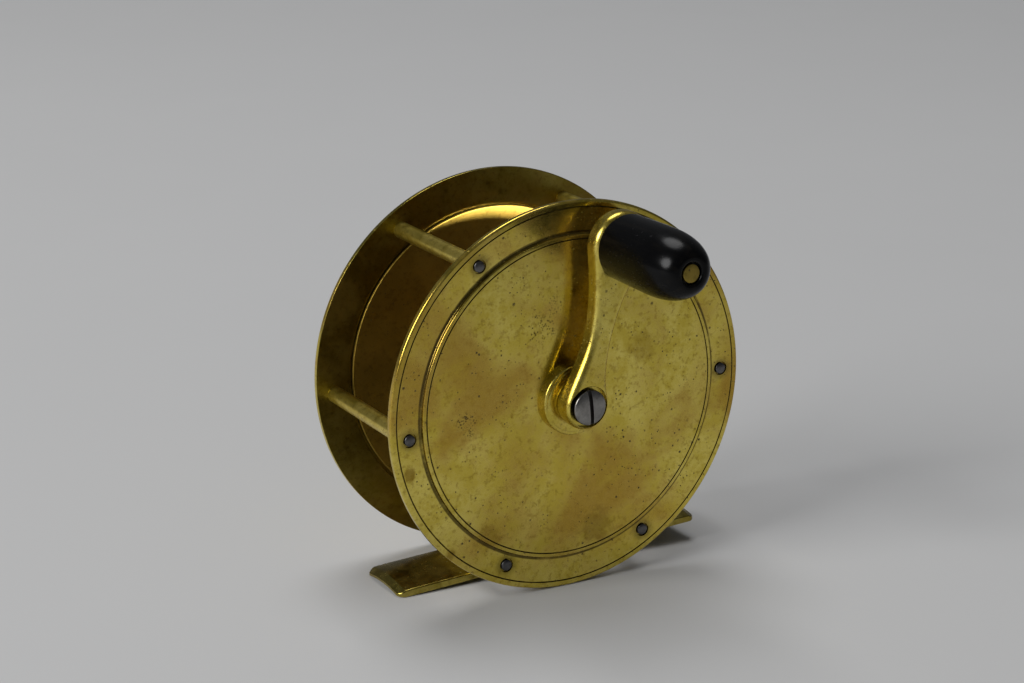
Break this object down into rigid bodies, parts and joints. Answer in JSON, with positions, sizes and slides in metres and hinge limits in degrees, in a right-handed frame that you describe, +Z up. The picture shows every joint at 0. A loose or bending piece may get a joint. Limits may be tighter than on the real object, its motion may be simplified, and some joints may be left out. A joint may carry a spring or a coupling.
{
  "type": "fly reel",
  "caption": "Crank-wind fly reel: a narrow spool between round end plates on pillars, with a turned grip, a sprung check and an arched foot for a rod.",
  "frame": {"origin": "on the rod seat: midway along the foot, midway between the plates, in the plane of the foot's two long lower edges", "axes": "+Z up from the rod to the spool; the spindle runs along Y with the crank on the -Y side; +X along the rod"},
  "size_m": [0.0762, 0.064, 0.0762],
  "materials": {
    "brass": "polished, with olive patina, stains and fine scratches",
    "inner_brass": "dulled and darkened",
    "steel": "worn bright steel",
    "blued_steel": "blued, worn at the crowns",
    "horn": "polished black horn"
  },
  "bodies": {
    "cage": {"front_plate": "brass", "back_plate": "brass", "pillar_foot_right": "brass", "pillar_foot_left": "brass", "pillar_side_right": "brass", "pillar_side_left": "brass", "pillar_top_right": "brass", "pillar_top_left": "brass", "front_pillar_screws": "blued_steel", "back_pillar_screws": "blued_steel", "foot": "brass", "saddle_right": "brass", "saddle_left": "brass", "foot_screws": "blued_steel", "front_bush": "brass", "back_bush": "brass", "check_guard_ring": "inner_brass", "pawl_stud": "steel", "check_spring": "steel", "spring_post": "steel"},
    "spool": {"spindle": "steel", "spool_arbor": "inner_brass", "spool_front_flange": "inner_brass", "spool_back_flange": "inner_brass", "flange_rivets": "inner_brass", "check_wheel": "steel", "crank_washer": "brass", "crank_arm": "brass", "crank_screw": "steel", "handle_pin": "brass"},
    "handle": {"handle_grip": "horn"},
    "check_pawl": {"pawl": "steel"}
  },
  "joints": [
    {"name": "spool_spin", "type": "hinge", "parent": "cage", "child": "spool", "pos_m": [0, 0, 0.0362], "axis": [0, 1, 0], "continuous": true},
    {"name": "handle_spin", "type": "hinge", "parent": "spool", "child": "handle", "pos_m": [0.00903, -0.035, 0.06575], "axis": [0, 1, 0], "continuous": true},
    {"name": "pawl_rock", "type": "hinge", "parent": "cage", "child": "check_pawl", "pos_m": [0.0099, -0.0143, 0.0461], "axis": [0, 1, 0], "range_deg": [-2, 2], "stiffness_Nm_per_rad": 0.01}
  ]
}
